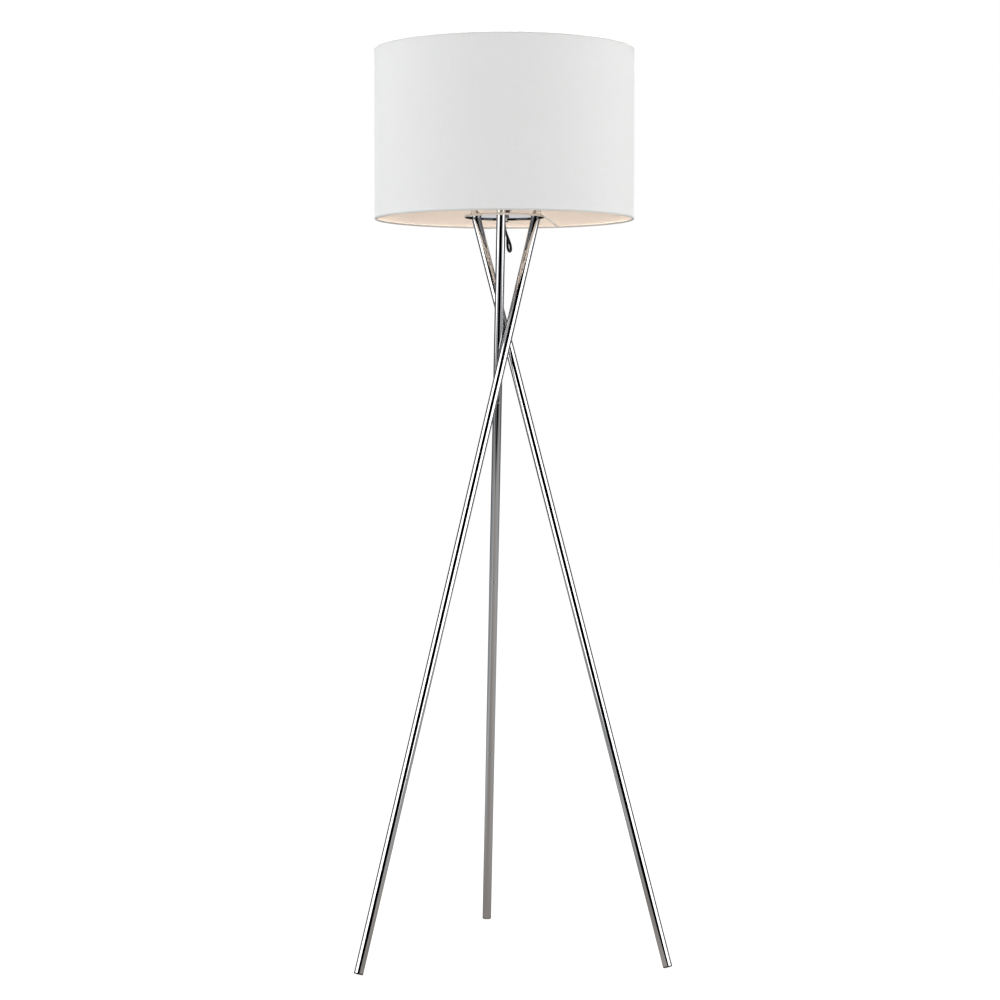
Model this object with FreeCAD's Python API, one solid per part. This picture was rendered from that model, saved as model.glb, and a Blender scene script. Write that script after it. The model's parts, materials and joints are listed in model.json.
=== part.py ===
import FreeCAD, Part

import math
import os
from FreeCAD import Vector

# A tripod floor lamp with three crossing tubular legs and a fabric drum shade.
# Millimetres. The origin is on the floor, on the shade's vertical axis. +Z is up and -Y is the front.

# ---- driving dimensions ---------------------------------------------------------------------

# Legs: straight tubes in four screwed sections, which cross below the plate.
LEG_NAMES = ("a", "b", "c")
LEG_DIA = 16.0
LEG_WALL = 1.0
LEG_TOP_RADIUS = 60.3
LEG_FOOT_RADIUS = 304.3
LEG_TOP_ANGLE = -95.4
LEG_TWIST = 191.5
SECTIONS = 4
SEAM_CHAMFER = 0.4

# Plate that holds the three leg tops together, with a thin lip turned down round its rim.
PLATE_DIA = 138.4
PLATE_THICKNESS = 1.5
PLATE_BOTTOM_Z = 1284.6
PLATE_LIP_THICKNESS = 0.5
PLATE_LIP_DEPTH = 2.2
PLATE_EDGE = 0.4

# Drum shade.
SHADE_DIA = 450.0
SHADE_HEIGHT = 293.8
SHADE_BOTTOM_Z = 1278.8
SHADE_FABRIC = 0.6
LINER_THICKNESS = 0.4
RIM_WIRE_DIA = 3.0
RIM_WIRE_INSET = 2.4
LINER_INSET = 0.5

# Mains lead: round two-core flex.
LEAD_DIA = 4.4

# Where the lead enters leg A, measured down the leg from the plate, and where it comes out again,
# measured up from the foot. The entry is turned a little about the leg, towards the loop.
LEAD_ENTRY_DOWN = 36.7
LEAD_EXIT_UP = 26.0
LEAD_PORT_TURN = -20.0
LEAD_TURN_RADIUS = 6.0
LEAD_CORNER_OFFSET = 1.0
LEAD_BUSH_Z = 1275.0

# Slack loop of the lead, from the bush under the plate down, round and up to leg A. The last
# two points follow from the leg and are added by lead_loop_route.
LEAD_LOOP = (
    (0.0, 0.0, 1275.0),
    (0.0, 3.0, 1267.5),
    (2.5, 6.5, 1257.5),
    (6.5, 9.0, 1247.0),
    (10.5, 8.0, 1236.5),
    (11.5, 3.0, 1227.5),
    (10.0, -4.5, 1223.5),
    (7.5, -12.5, 1224.0),
    (5.5, -19.0, 1229.5),
    (5.0, -21.5, 1237.0),
    (5.5, -23.5, 1244.5),
    (4.5, -28.5, 1250.5),
)
LEAD_LAST_RUN = 8.0

# Screwed joints inside the legs: a socket in the upper tube, a hollow stud in the lower one.
PLUG_LENGTH = 22.0
STUD_DIA = 10.0
STUD_LENGTH = 16.0
WIRE_WAY_DIA = 7.0

# Leg bolts and their wedge spacers, above the plate.
INSERT_LENGTH = 24.0
BOLT_DIA = 8.0
BOLT_HEAD_DIA = 13.0
BOLT_HEAD_HEIGHT = 8.0
BOLT_REACH = 18.0
BOLT_KEY_ACROSS = 6.0
BOLT_KEY_DEPTH = 4.0
SPACER_RISE = 10.0
CLEARANCE_HOLE = 8.8
FIT_GAP = 0.05

# Foot caps: a hollow plug in the tube and a thin flange under its end.
CAP_FLANGE = 2.0
CAP_PLUG_LENGTH = 12.0
CAP_WALL = 1.5
CAP_CENTRE_Z = 1.0

# Rubber grommets in leg A.
GROMMET_DIA = 10.0
GROMMET_NECK_DIA = 7.0
GROMMET_PROUD = 1.6
GROMMET_HOLE_DIA = 4.8

# Nipple, its nuts and the bush under it.
NIPPLE_DIA = 10.0
NIPPLE_TOP_Z = 1304.0
NIPPLE_BOTTOM_Z = 1277.0
NUT_HEIGHT = 3.0
NUT_ACROSS = 14.0
BUSH_DIA = 13.0
BUSH_SLEEVE = 8.0

# E27 lampholder: base with the switch, body with the shade shoulder and threaded skirt.
HOLDER_DIA = 39.0
HOLDER_WALL = 2.0
HOLDER_BASE_Z = 1289.1
HOLDER_COLLAR_DIA = 19.0
HOLDER_COLLAR_HEIGHT = 5.9
HOLDER_DOME_HEIGHT = 8.0
HOLDER_DOME_MIDDLE = (7.5, 2.6)
HOLDER_ROOF = 0.5
HOLDER_SPLIT_Z = 1321.0
SHOULDER_Z = 1328.0
SHOULDER_DIA = 46.0
SHOULDER_THICKNESS = 3.0
SKIRT_DIA = 39.6
SKIRT_BORE_DIA = 29.0
HOLDER_TOP_Z = 1352.0
HOLDER_FLOOR = 2.0
HOLDER_FLOOR_HOLE_DIA = 14.0
SHELL_BORE_DIA = 27.0
SHELL_WALL = 0.4
SHELL_BELOW_TOP = 1.5

# Inside the lampholder: the ceramic block, its two screws and the bent centre contact.
BLOCK_HEIGHT = 11.0
SCREW_ANGLES = (30.0, 150.0)
SCREW_CIRCLE_R = 11.0
SCREW_HEAD_DIA = 4.0
SCREW_HEAD_HEIGHT = 1.6
SCREW_WELL_DIA = 4.2
SCREW_WELL_DEPTH = 2.0
SCREW_SLOT = 0.8
CONTACT_WIDTH = 5.0
CONTACT_THICKNESS = 0.6
CONTACT_FOOT_X = -5.5
CONTACT_BEND_X = -1.0
CONTACT_TIP_X = 4.0
CONTACT_END_X = 5.5

# Rotary switch on the lampholder's side.
KNOB_ANGLE = 244.0
KNOB_Z = 1312.0
KNOB_DIA = 13.0
KNOB_LENGTH = 13.0
KNOB_START_R = 21.0
KNOB_CHAMFER = 1.0
KNOB_BASE_CHAMFER = 0.5
KNOB_FLUTES = 12
KNOB_FLUTE_DIA = 1.6
KNOB_FLUTE_OUT = 0.35
SPINDLE_DIA = 4.0
SPINDLE_START_R = 13.0
SPINDLE_IN_KNOB = 8.0
SPINDLE_ROOM = 1.0

# Ring nut and the shade's fitter.
RING_HEIGHT = 7.0
RING_DIA = 54.0
RING_GRIPS = 16
RING_GRIP_DIA = 4.0
RING_GRIP_OUT = 1.0
HUB_DIA = 60.0
HUB_HOLE_DIA = 40.6
HUB_THICKNESS = 2.4
ARM_DIA = 3.2
ARM_ANGLES = (64.0, 184.0, 304.0)
ARM_START_R = 27.0

# Light bulb: a frosted 60 mm pear on an E27 cap.
BULB_R = 30.0
BULB_CENTRE_Z = 1404.0
BULB_NECK_R = 12.6
BULB_WALL = 0.8
BULB_NECK_DOWN = 3.2
BULB_FLARE_START = 6.0
BULB_FLARE_MIDDLE = (5.6, 21.0)
BULB_JOIN_ANGLE = -23.6
CAP_R = 13.0
CAP_TOP_Z = 1351.0
CAP_THREAD_Z = 1332.0
CAP_BOTTOM_Z = 1328.0
CAP_TIP_R = 8.0
CAP_SHEET = 0.3
CAP_RIDGES = 5
CAP_RIDGE_DEPTH = 0.5
CAP_COLLAR_HEIGHT = 3.4
CAP_COLLAR_STEP = 0.6
INSULATOR_GAP = 0.2
INSULATOR_RISE = 2.0
INSULATOR_DROP = 1.6
TIP_Z = 1324.2
TIP_R = 4.5
TIP_BEVEL = (1.5, 1.2)

# ---- worked-out dimensions ------------------------------------------------------------------

LEG_R = LEG_DIA / 2.0
BORE_R = LEG_R - LEG_WALL
PLUG_R = BORE_R - FIT_GAP
PLATE_TOP_Z = PLATE_BOTTOM_Z + PLATE_THICKNESS
SHADE_R = SHADE_DIA / 2.0
LINER_R = SHADE_R - SHADE_FABRIC
LINER_INNER_R = LINER_R - LINER_THICKNESS
RIM_WIRE_R = RIM_WIRE_DIA / 2.0
RIM_RING_R = LINER_INNER_R - RIM_WIRE_R - FIT_GAP
ORIGIN = Vector(0, 0, 0)
UP = Vector(0, 0, 1)
HUGE = 4000.0


# ---- small helpers --------------------------------------------------------------------------

def cylinder(dia, length, base, axis=UP):
    return Part.makeCylinder(dia / 2.0, length, base, axis)


def place(shape, base, axis):
    """Move a shape made about the Z axis so that it starts at base and points along axis."""
    shape.Placement = FreeCAD.Placement(base, FreeCAD.Rotation(UP, axis))
    return shape


def revolved(edges):
    """Solid of revolution about Z from the edges of a closed outline in the XZ plane."""
    face = Part.Face(Part.Wire(Part.__sortEdges__(edges)))
    return face.revolve(ORIGIN, UP, 360)


def turned(outline, base=ORIGIN, axis=UP):
    """Solid turned from straight outline points (radius, height)."""
    points = [Vector(r, 0, z) for r, z in outline]
    face = Part.Face(Part.makePolygon(points + points[:1]))
    return place(face.revolve(ORIGIN, UP, 360), base, axis)


def sleeve(inner_r, outer_r, low, high, base=ORIGIN, axis=UP):
    return turned(((inner_r, low), (outer_r, low), (outer_r, high), (inner_r, high)), base, axis)


def hexagon(across, height, base, axis=UP):
    corner_r = across / math.sqrt(3.0)
    points = []
    for i in range(7):
        turn = math.radians(60.0 * i)
        points.append(Vector(corner_r * math.cos(turn), corner_r * math.sin(turn), 0))
    return place(Part.Face(Part.makePolygon(points)).extrude(Vector(0, 0, height)), base, axis)


def half_space(z, above):
    """A big box that fills everything above, or below, the level z."""
    corner = Vector(-HUGE / 2, -HUGE / 2, z if above else z - HUGE)
    return Part.makeBox(HUGE, HUGE, HUGE, corner)


def polar(radius, degrees, z):
    turn = math.radians(degrees)
    return Vector(radius * math.cos(turn), radius * math.sin(turn), z)


def export(name, shape):
    shape.exportStep("parts/" + name + ".step")


# ---- legs -----------------------------------------------------------------------------------

class Leg:
    """One straight leg: its top on the plate's underside, its foot, and its directions."""

    def __init__(self, index):
        top_angle = LEG_TOP_ANGLE + 120.0 * index
        self.name = LEG_NAMES[index]
        self.top = polar(LEG_TOP_RADIUS, top_angle, PLATE_BOTTOM_Z)
        self.foot = polar(LEG_FOOT_RADIUS, top_angle + LEG_TWIST, CAP_CENTRE_Z)
        self.up = (self.top - self.foot).normalize()
        self.length = (self.top - self.foot).Length
        self.tube_start = CAP_FLANGE
        self.section = (self.length - self.tube_start) / SECTIONS

    def at(self, height):
        """Point on the leg's axis, measured along the leg from its foot."""
        return self.foot + self.up * height

    def inward(self, height):
        """Square to the leg, towards the lamp's axis, at a height along the leg."""
        point = self.at(height)
        towards = Vector(-point.x, -point.y, 0)
        return (towards - self.up * towards.dot(self.up)).normalize()

    def section_range(self, number):
        """Start and end, along the leg, of section 1 (top) to SECTIONS (bottom)."""
        start = self.tube_start + (SECTIONS - number) * self.section
        return start, start + self.section


def leg_section(leg, number, holes):
    start, end = leg.section_range(number)
    length = end - start
    over = LEG_DIA if number == 1 else 0.0
    edge = SEAM_CHAMFER
    outline = ((BORE_R, 0), (LEG_R - edge, 0), (LEG_R, edge), (LEG_R, length - edge + over),
               (LEG_R - edge, length + over), (BORE_R, length + over))
    tube = turned(outline, leg.at(start), leg.up)
    if number == 1:
        tube = tube.cut(half_space(PLATE_BOTTOM_Z, True))
    for hole in holes:
        tube = tube.cut(hole)
    return tube


def leg_studs(leg):
    """Hollow threaded studs, one fixed in the top of each section below the first."""
    bore = WIRE_WAY_DIA / 2.0
    stud = STUD_DIA / 2.0
    full = PLUG_LENGTH + STUD_LENGTH
    outline = ((bore, 0), (PLUG_R, 0), (PLUG_R, PLUG_LENGTH), (stud, PLUG_LENGTH),
               (stud, full), (bore, full))
    solids = []
    for number in range(2, SECTIONS + 1):
        seam = leg.section_range(number)[1]
        solids.append(turned(outline, leg.at(seam - PLUG_LENGTH), leg.up))
    return Part.makeCompound(solids)


def leg_sockets(leg):
    """Threaded sockets, one fixed in the bottom of each section above the last."""
    solids = []
    for number in range(1, SECTIONS):
        seam = leg.section_range(number)[0]
        thread_r = STUD_DIA / 2.0 + FIT_GAP
        solids.append(sleeve(thread_r, PLUG_R, 0, PLUG_LENGTH, leg.at(seam), leg.up))
    return Part.makeCompound(solids)


def leg_top_insert(leg):
    thread_r = BOLT_DIA / 2.0 + FIT_GAP
    insert = sleeve(thread_r, PLUG_R, 0, INSERT_LENGTH + LEG_DIA,
                    leg.at(leg.length - INSERT_LENGTH), leg.up)
    return insert.cut(half_space(PLATE_BOTTOM_Z, True))


def wedge_spacer(leg):
    """Tube-wide spacer on the plate, its foot cut level and its top square to the leg."""
    hole_r = CLEARANCE_HOLE / 2.0
    edge = SEAM_CHAMFER
    top = SPACER_RISE + LEG_DIA
    outline = ((hole_r, 0), (LEG_R, 0), (LEG_R, top - edge), (LEG_R - edge, top), (hole_r, top))
    solid = turned(outline, leg.at(leg.length - LEG_DIA), leg.up)
    return solid.cut(half_space(PLATE_TOP_Z, False))


def leg_bolt(leg):
    """Socket-head bolt along the leg's axis, down through spacer and plate into the insert."""
    shank_r = BOLT_DIA / 2.0
    head_r = BOLT_HEAD_DIA / 2.0
    reach = BOLT_REACH + SPACER_RISE
    full = reach + BOLT_HEAD_HEIGHT
    edge = 2 * SEAM_CHAMFER
    outline = ((0, 0), (shank_r - edge, 0), (shank_r, edge), (shank_r, reach), (head_r, reach),
               (head_r, full - edge), (head_r - edge, full), (0, full))
    base = leg.at(leg.length - BOLT_REACH)
    key_base = base + leg.up * (full - BOLT_KEY_DEPTH)
    key = hexagon(BOLT_KEY_ACROSS, BOLT_KEY_DEPTH, key_base, leg.up)
    return turned(outline, base, leg.up).cut(key)


def foot_cap(leg):
    """Flange under the tube with a hollow plug inside it, cut level where it meets the floor."""
    edge = SEAM_CHAMFER
    hollow_r = PLUG_R - CAP_WALL
    floor = CAP_FLANGE + CAP_WALL
    top = CAP_FLANGE + CAP_PLUG_LENGTH
    outline = ((0, 0), (LEG_R - edge, 0), (LEG_R, edge), (LEG_R, CAP_FLANGE), (PLUG_R, CAP_FLANGE),
               (PLUG_R, top), (hollow_r, top), (hollow_r, floor), (0, floor))
    return turned(outline, leg.foot, leg.up).cut(half_space(0.0, False))


# ---- lead through leg A ---------------------------------------------------------------------

def lead_port(leg, height, turn):
    """Centre on the leg's axis and direction of a side hole, turned from the inward direction."""
    direction = FreeCAD.Rotation(leg.up, turn).multVec(leg.inward(height))
    return leg.at(height), direction


def port_hole(port):
    centre, direction = port
    return cylinder(GROMMET_NECK_DIA + 2 * FIT_GAP, LEG_DIA, centre, direction)


def grommet(leg, port):
    """Rubber grommet: a flange outside the tube and a neck through its wall."""
    centre, direction = port
    full = LEG_R + GROMMET_PROUD
    flange = cylinder(GROMMET_DIA, full, centre, direction)
    flange = flange.cut(cylinder(LEG_DIA, 4 * LEG_DIA, centre - leg.up * 2 * LEG_DIA, leg.up))
    neck = cylinder(GROMMET_NECK_DIA, full - BORE_R, centre + direction * BORE_R, direction)
    hole = cylinder(GROMMET_HOLE_DIA, full + LEG_DIA, centre, direction)
    return flange.fuse(neck).removeSplitter().cut(hole)


def tube_along(points, radii, dia):
    """Round tube along straight runs joined by tangent arcs, one radius for each inner point."""
    edges = []
    start = points[0]
    for i in range(1, len(points) - 1):
        before = (points[i] - points[i - 1]).normalize()
        after = (points[i + 1] - points[i]).normalize()
        half_turn = before.getAngle(after) / 2.0
        back = radii[i - 1] * math.tan(half_turn)
        arc_start = points[i] - before * back
        arc_end = points[i] + after * back
        inwards = (after - before).normalize()
        sagitta = radii[i - 1] * (1.0 / math.cos(half_turn) - 1.0)
        middle = points[i] + inwards * sagitta
        edges.append(Part.LineSegment(start, arc_start).toShape())
        edges.append(Part.Arc(arc_start, middle, arc_end).toShape())
        start = arc_end
    edges.append(Part.LineSegment(start, points[-1]).toShape())
    path = Part.Wire(edges)
    direction = (points[1] - points[0]).normalize()
    section = Part.Wire([Part.makeCircle(dia / 2.0, points[0], direction)])
    tube = path.makePipeShell([section], True, False, 1)
    measured = tube.Volume / (math.pi * dia * dia / 4.0 * path.Length)
    print("  length %.1f, volume against section times length %.4f" % (path.Length, measured))
    return tube


def bend_radii(points):
    """The largest radius that the two runs beside each inner point allow."""
    radii = []
    for i in range(1, len(points) - 1):
        before = points[i] - points[i - 1]
        after = points[i + 1] - points[i]
        shorter = min(before.Length, after.Length)
        radii.append(0.45 * shorter / math.tan(before.getAngle(after) / 2.0))
    print("  runs " + " ".join("%.1f" % (b - a).Length for a, b in zip(points, points[1:])))
    print("  radii " + " ".join("%.1f" % r for r in radii))
    return radii


def lead_loop_route(port):
    """The slack loop's points, ending square to leg A at the outer end of its grommet."""
    centre, direction = port
    end = centre + direction * (LEG_R + GROMMET_PROUD)
    points = [Vector(*place) for place in LEAD_LOOP]
    points.append(end + direction * LEAD_LAST_RUN)
    points.append(end)
    return points


def lead_loop(port):
    """The loop's tube, its upper end cut level to meet the lead in the nipple."""
    print("lead loop")
    points = lead_loop_route(port)
    print("  points " + " ".join("(%.1f, %.1f, %.1f)" % tuple(point) for point in points))
    tube = tube_along(points, bend_radii(points), LEAD_DIA)
    return tube.cut(half_space(LEAD_BUSH_Z, True))


def lead_in_leg(leg, entry, exit_port):
    """The lead from the upper grommet, down inside leg A, to the grommet at its foot."""
    print("lead in leg a")
    turn = LEAD_TURN_RADIUS
    reach = LEG_R + GROMMET_PROUD
    top_centre, top_way = entry
    low_centre, low_way = exit_port
    corner_top = top_centre - top_way * LEAD_CORNER_OFFSET
    corner_low = low_centre - low_way * LEAD_CORNER_OFFSET
    points = [top_centre + top_way * reach, corner_top, corner_low, low_centre + low_way * reach]
    return tube_along(points, [turn, turn], LEAD_DIA)


# ---- plate and nipple -----------------------------------------------------------------------

def top_plate(legs):
    """Round plate with a softened top edge and a lip turned down just outside the leg tops."""
    rim = PLATE_DIA / 2.0
    lip = rim - PLATE_LIP_THICKNESS
    low = PLATE_BOTTOM_Z - PLATE_LIP_DEPTH
    bore = NIPPLE_DIA / 2.0 + FIT_GAP
    plate = turned(((bore, PLATE_BOTTOM_Z), (lip, PLATE_BOTTOM_Z), (lip, low), (rim, low),
                    (rim, PLATE_TOP_Z - PLATE_EDGE), (rim - PLATE_EDGE, PLATE_TOP_Z),
                    (bore, PLATE_TOP_Z)))
    for leg in legs:
        below = leg.at(leg.length - LEG_DIA)
        plate = plate.cut(cylinder(CLEARANCE_HOLE, 2 * LEG_DIA, below, leg.up))
    return plate


def nipple():
    return sleeve(WIRE_WAY_DIA / 2.0, NIPPLE_DIA / 2.0, NIPPLE_BOTTOM_Z, NIPPLE_TOP_Z)


def nipple_nuts():
    """One nut under the plate and one on it."""
    solids = []
    for z in (PLATE_BOTTOM_Z - NUT_HEIGHT, PLATE_TOP_Z):
        nut = hexagon(NUT_ACROSS, NUT_HEIGHT, Vector(0, 0, z))
        solids.append(nut.cut(cylinder(NIPPLE_DIA + 2 * FIT_GAP, HUGE, ORIGIN)))
    return Part.makeCompound(solids)


def lead_bush():
    """Plastic bush pushed up into the nipple, so that the lead isn't cut by its edge."""
    hole_r = GROMMET_HOLE_DIA / 2.0
    sleeve_r = WIRE_WAY_DIA / 2.0 - FIT_GAP
    flange_r = BUSH_DIA / 2.0
    edge = SEAM_CHAMFER
    top = NIPPLE_BOTTOM_Z + BUSH_SLEEVE
    return turned(((hole_r, LEAD_BUSH_Z), (flange_r - edge, LEAD_BUSH_Z),
                   (flange_r, LEAD_BUSH_Z + edge), (flange_r, NIPPLE_BOTTOM_Z),
                   (sleeve_r, NIPPLE_BOTTOM_Z), (sleeve_r, top), (hole_r, top)))


# ---- lampholder -----------------------------------------------------------------------------

def knob_axis():
    return polar(1.0, KNOB_ANGLE, 0.0)


def lampholder_base():
    """Cup on the nipple: collar, rounded shoulder and a wall that the switch spindle passes."""
    outer = HOLDER_DIA / 2.0
    inner = outer - HOLDER_WALL
    collar = HOLDER_COLLAR_DIA / 2.0
    bore = NIPPLE_DIA / 2.0 + FIT_GAP
    collar_top = HOLDER_BASE_Z + HOLDER_COLLAR_HEIGHT
    dome_top = collar_top + HOLDER_DOME_HEIGHT
    floor = dome_top + HOLDER_ROOF
    across, rise = HOLDER_DOME_MIDDLE
    dome = Part.Arc(Vector(collar, 0, collar_top), Vector(collar + across, 0, collar_top + rise),
                    Vector(outer, 0, dome_top))
    corners = ((outer, dome_top), (outer, HOLDER_SPLIT_Z), (inner, HOLDER_SPLIT_Z), (inner, floor),
               (bore, floor), (bore, HOLDER_BASE_Z), (collar, HOLDER_BASE_Z), (collar, collar_top))
    points = [Vector(r, 0, z) for r, z in corners]
    edges = [Part.LineSegment(a, b).toShape() for a, b in zip(points, points[1:])]
    base = revolved(edges + [dome.toShape()])
    way = cylinder(SPINDLE_DIA + 4 * FIT_GAP, HOLDER_DIA, Vector(0, 0, KNOB_Z), knob_axis())
    return base.cut(way)


def terminal_block():
    """Ceramic block with the switch works, inside the base under the socket's floor."""
    block = cylinder(HOLDER_DIA - 2 * HOLDER_WALL - 4 * FIT_GAP, BLOCK_HEIGHT,
                     Vector(0, 0, HOLDER_SPLIT_Z - BLOCK_HEIGHT))
    start = knob_axis() * (SPINDLE_START_R - SPINDLE_ROOM) + Vector(0, 0, KNOB_Z)
    block = block.cut(cylinder(SPINDLE_DIA + SPINDLE_ROOM, HOLDER_DIA, start, knob_axis()))
    for well in screw_places():
        block = block.cut(cylinder(SCREW_WELL_DIA, SCREW_WELL_DEPTH, well))
    return block


def screw_places():
    return [polar(SCREW_CIRCLE_R, angle, HOLDER_SPLIT_Z - SCREW_WELL_DEPTH) for angle in SCREW_ANGLES]


def terminal_screws():
    solids = []
    for place_at in screw_places():
        head = cylinder(SCREW_HEAD_DIA, SCREW_HEAD_HEIGHT, place_at)
        corner = Vector(-SCREW_HEAD_DIA / 2.0, -SCREW_SLOT / 2.0, SCREW_HEAD_HEIGHT - SCREW_SLOT)
        slot = Part.makeBox(SCREW_HEAD_DIA, SCREW_SLOT, SCREW_SLOT, place_at + corner)
        solids.append(head.cut(slot))
    return Part.makeCompound(solids)


def lampholder_body():
    """Socket body: shoulder that the shade's hub sits on, and a threaded skirt above it."""
    outer = HOLDER_DIA / 2.0
    skirt = SKIRT_DIA / 2.0
    bore = SKIRT_BORE_DIA / 2.0
    flange = SHOULDER_DIA / 2.0
    floor = HOLDER_SPLIT_Z + HOLDER_FLOOR
    under = SHOULDER_Z - SHOULDER_THICKNESS
    hole = HOLDER_FLOOR_HOLE_DIA / 2.0
    edge = 2 * SEAM_CHAMFER
    return turned(((hole, HOLDER_SPLIT_Z), (outer, HOLDER_SPLIT_Z), (outer, under), (flange, under),
                   (flange, SHOULDER_Z), (skirt, SHOULDER_Z), (skirt, HOLDER_TOP_Z - edge),
                   (skirt - edge, HOLDER_TOP_Z), (bore, HOLDER_TOP_Z), (bore, floor), (hole, floor)))


def screw_shell():
    """Brass shell that the bulb's cap screws into."""
    inner = SHELL_BORE_DIA / 2.0
    low = HOLDER_SPLIT_Z + HOLDER_FLOOR
    return sleeve(inner, inner + SHELL_WALL, low, HOLDER_TOP_Z - SHELL_BELOW_TOP)


def centre_contact():
    """Springy brass tongue: a foot on the block, a riser and the tip under the bulb."""
    low = HOLDER_SPLIT_Z
    high = TIP_Z - 2 * FIT_GAP
    half = CONTACT_WIDTH / 2.0
    thick = CONTACT_THICKNESS
    back = thick / 2.0
    outline = ((CONTACT_FOOT_X, low), (CONTACT_BEND_X, low), (CONTACT_TIP_X, high - thick),
               (CONTACT_END_X, high - thick), (CONTACT_END_X, high), (CONTACT_TIP_X - back, high),
               (CONTACT_BEND_X - back, low + thick), (CONTACT_FOOT_X, low + thick))
    points = [Vector(x, -half, z) for x, z in outline]
    return Part.Face(Part.makePolygon(points + points[:1])).extrude(Vector(0, CONTACT_WIDTH, 0))


def switch_spindle():
    start = knob_axis() * SPINDLE_START_R + Vector(0, 0, KNOB_Z)
    end_r = KNOB_START_R + SPINDLE_IN_KNOB
    return cylinder(SPINDLE_DIA, end_r - SPINDLE_START_R, start, knob_axis())


def switch_knob():
    """Fluted knob pushed on the spindle."""
    base = knob_axis() * KNOB_START_R + Vector(0, 0, KNOB_Z)
    radius = KNOB_DIA / 2.0
    low_edge = KNOB_BASE_CHAMFER
    knob = turned(((0, 0), (radius - low_edge, 0), (radius, low_edge),
                   (radius, KNOB_LENGTH - KNOB_CHAMFER), (radius - KNOB_CHAMFER, KNOB_LENGTH),
                   (0, KNOB_LENGTH)), base, knob_axis())
    turn = FreeCAD.Rotation(UP, knob_axis())
    for i in range(KNOB_FLUTES):
        offset = turn.multVec(polar(radius + KNOB_FLUTE_OUT, 360.0 / KNOB_FLUTES * i, -KNOB_LENGTH))
        flute = cylinder(KNOB_FLUTE_DIA, 3 * KNOB_LENGTH, base + offset, knob_axis())
        knob = knob.cut(flute)
    return knob.cut(cylinder(SPINDLE_DIA, SPINDLE_IN_KNOB, base, knob_axis()))


def ring_nut():
    """Ring with a scalloped rim that clamps the shade's hub on the shoulder."""
    low = SHOULDER_Z + HUB_THICKNESS
    ring = sleeve(SKIRT_DIA / 2.0 + FIT_GAP, RING_DIA / 2.0, low, low + RING_HEIGHT)
    for i in range(RING_GRIPS):
        centre = polar(RING_DIA / 2.0 + RING_GRIP_OUT, 360.0 / RING_GRIPS * i, low - RING_HEIGHT)
        ring = ring.cut(cylinder(RING_GRIP_DIA, 3 * RING_HEIGHT, centre))
    return ring


# ---- shade ----------------------------------------------------------------------------------

def shade_wall(inner_r, outer_r, inset):
    low = SHADE_BOTTOM_Z + inset
    return sleeve(inner_r, outer_r, low, SHADE_BOTTOM_Z + SHADE_HEIGHT - inset)


def rim_wire(z):
    return Part.makeTorus(RIM_RING_R, RIM_WIRE_R, Vector(0, 0, z))


def fitter_hub():
    return sleeve(HUB_HOLE_DIA / 2.0, HUB_DIA / 2.0, SHOULDER_Z, SHOULDER_Z + HUB_THICKNESS)


def fitter_arms(hub, ring):
    """Three rods from the underside of the hub's rim down to the bottom wire."""
    solids = []
    low_z = SHADE_BOTTOM_Z + RIM_WIRE_INSET
    for angle in ARM_ANGLES:
        start = polar(ARM_START_R, angle, SHOULDER_Z + HUB_THICKNESS / 2.0)
        end = polar(RIM_RING_R, angle, low_z)
        rod = cylinder(ARM_DIA, (end - start).Length, start, (end - start).normalize())
        pieces = rod.cut(hub).cut(ring).Solids
        solids.append(max(pieces, key=lambda piece: piece.Volume))
    return Part.makeCompound(solids)


# ---- bulb -----------------------------------------------------------------------------------

def bulb_outline(shrink, neck_z):
    """Edges of the pear outline from the neck to the crown, moved inwards by shrink."""
    neck = BULB_NECK_R - shrink
    globe = BULB_R - shrink
    join = math.radians(BULB_JOIN_ANGLE)
    join_point = Vector(globe * math.cos(join), 0, BULB_CENTRE_Z + globe * math.sin(join))
    across, rise = BULB_FLARE_MIDDLE
    flare_start = Vector(neck, 0, CAP_TOP_Z + BULB_FLARE_START)
    flare_middle = Vector(neck + across, 0, CAP_TOP_Z + rise)
    side = Vector(globe * math.cos(math.pi / 4), 0, BULB_CENTRE_Z + globe * math.sin(math.pi / 4))
    crown = Vector(0, 0, BULB_CENTRE_Z + globe)
    return [Part.LineSegment(Vector(neck, 0, neck_z), flare_start).toShape(),
            Part.Arc(flare_start, flare_middle, join_point).toShape(),
            Part.Arc(join_point, side, crown).toShape()]


def bulb_glass():
    neck_z = CAP_TOP_Z - BULB_NECK_DOWN
    outer = bulb_outline(0.0, neck_z)
    inner = bulb_outline(BULB_WALL, neck_z)
    low = Part.LineSegment(outer[0].Vertexes[0].Point, inner[0].Vertexes[0].Point).toShape()
    high = Part.LineSegment(outer[-1].Vertexes[1].Point, inner[-1].Vertexes[1].Point).toShape()
    return revolved(outer + inner + [low, high])


def bulb_cap():
    """Thin metal screw cap with rounded thread ridges, closed by a cone round the insulator."""
    outline = []
    collar_z = CAP_TOP_Z - CAP_COLLAR_HEIGHT
    thread_top = collar_z - CAP_COLLAR_STEP
    step = (thread_top - CAP_THREAD_Z) / CAP_RIDGES
    for i in range(CAP_RIDGES):
        z = CAP_THREAD_Z + i * step
        outline.append((CAP_R - CAP_RIDGE_DEPTH, z))
        outline.append((CAP_R, z + step / 2.0))
    outline.append((CAP_R - CAP_RIDGE_DEPTH, thread_top))
    outline.append((CAP_R, collar_z))
    outline.append((CAP_R, CAP_TOP_Z))
    inner = [(r - CAP_SHEET, z) for r, z in reversed(outline)]
    cone = [(CAP_TIP_R - CAP_SHEET, CAP_BOTTOM_Z), (CAP_TIP_R, CAP_BOTTOM_Z)]
    return turned(outline + inner + cone)


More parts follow.
